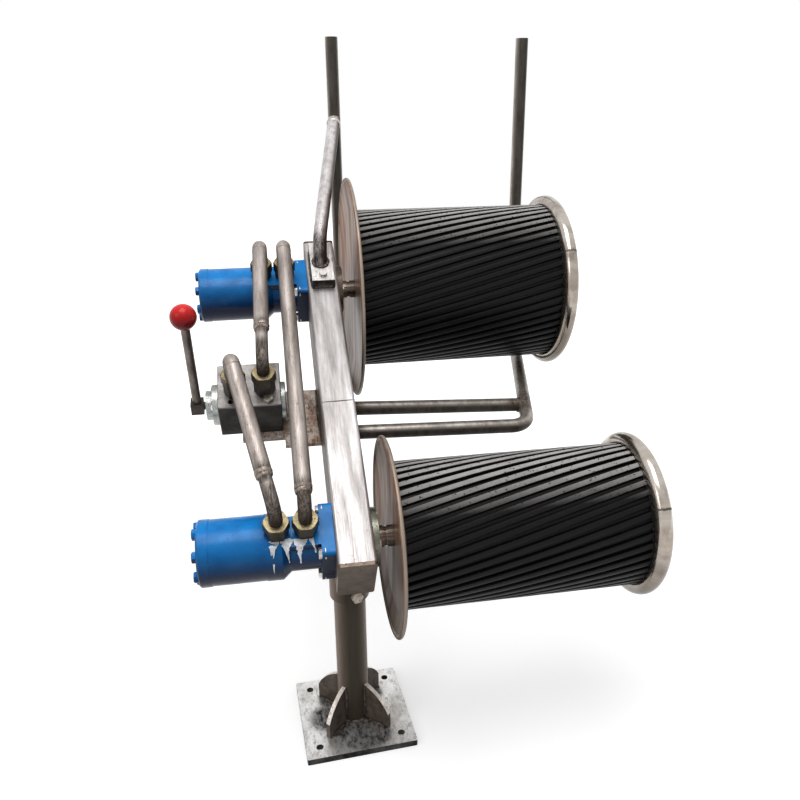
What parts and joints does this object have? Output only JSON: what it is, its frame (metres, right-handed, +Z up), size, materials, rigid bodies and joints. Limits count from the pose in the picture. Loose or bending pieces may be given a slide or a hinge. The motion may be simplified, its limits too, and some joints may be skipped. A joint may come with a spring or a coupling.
{
  "type": "net hauler",
  "caption": "Post-mounted hydraulic net hauler: ribbed rubber drums on a sloping arm, driven by motors through a lever valve, with tube net guides.",
  "frame": {"origin": "centre of the base plate's bolt pattern on the plate's underside, on the post's axis", "axes": "+Z up along the post, +X along the drum axes away from the motors, +Y up the slope of the arm, towards the larger drum"},
  "size_m": [0.755, 0.8885, 1.235],
  "materials": {
    "plate_steel": "mottled mill steel with weld burns",
    "post_steel": "dark brown-grey bare steel",
    "arm_steel": "ground bare steel",
    "blue_paint": "gloss paint",
    "zinc": "pale zinc plate",
    "yellow_zinc": "yellow zinc plate",
    "dark_steel": "blackened steel",
    "pipe_steel": "bare pipe with weld burns",
    "guide_steel": "bare tube",
    "valve_steel": "machined steel",
    "rusty_steel": "rusty plate",
    "polished_steel": "polished stainless",
    "core_steel": "bare steel",
    "rubber": "ribbed black rubber",
    "red_plastic": "gloss"
  },
  "bodies": {
    "base": {"base_plate": "plate_steel", "base_tube": "post_steel", "base_gussets": "post_steel"},
    "head": {"swivel_socket": "post_steel", "lock_bolt": "dark_steel", "arm_lower": "arm_steel", "arm_upper": "arm_steel", "arm_end_caps": "post_steel", "valve_block": "valve_steel", "valve_end_cap": "zinc", "valve_bracket": "rusty_steel", "spool_housing": "zinc", "port_adapters": "dark_steel", "pipe_nuts": "yellow_zinc", "pipe_rear_to_front": "pipe_steel", "pipe_rear_to_valve": "pipe_steel", "pipe_valve_to_front": "pipe_steel", "brace_shoe": "dark_steel", "guide_brace": "guide_steel", "guide_left": "guide_steel", "guide_right": "guide_steel", "upper_leg": "guide_steel", "front_motor_housing": "blue_paint", "front_motor_barrel": "blue_paint", "front_motor_end_cover": "blue_paint", "front_bearing": "zinc", "rear_motor_housing": "blue_paint", "rear_motor_barrel": "blue_paint", "rear_motor_end_cover": "blue_paint", "rear_bearing": "zinc"},
    "front_drum": {"front_drum_shaft": "polished_steel", "front_drum_flange": "polished_steel", "front_drum_core": "core_steel", "front_drum_sleeve": "rubber", "front_drum_end_ring": "polished_steel"},
    "rear_drum": {"rear_drum_shaft": "polished_steel", "rear_drum_flange": "polished_steel", "rear_drum_core": "core_steel", "rear_drum_sleeve": "rubber", "rear_drum_end_ring": "polished_steel"},
    "lever": {"lever_clamp": "dark_steel", "lever_rod": "dark_steel", "lever_ball": "red_plastic"}
  },
  "joints": [
    {"name": "head_swivel", "type": "hinge", "parent": "base", "child": "head", "pos_m": [0, 0, 0.3], "axis": [0, 0, 1], "range_deg": [-90, 90]},
    {"name": "front_drum_spin", "type": "hinge", "parent": "head", "child": "front_drum", "pos_m": [0, -0.08759, 0.43702], "axis": [1, 0, 0], "continuous": true},
    {"name": "rear_drum_spin", "type": "hinge", "parent": "head", "child": "rear_drum", "pos_m": [0, 0.38099, 0.74365], "axis": [1, 0, 0], "continuous": true},
    {"name": "lever_swing", "type": "hinge", "parent": "head", "child": "lever", "pos_m": [-0.23, 0.14039, 0.59816], "axis": [1, 0, 0], "range_deg": [-30, 30]}
  ]
}
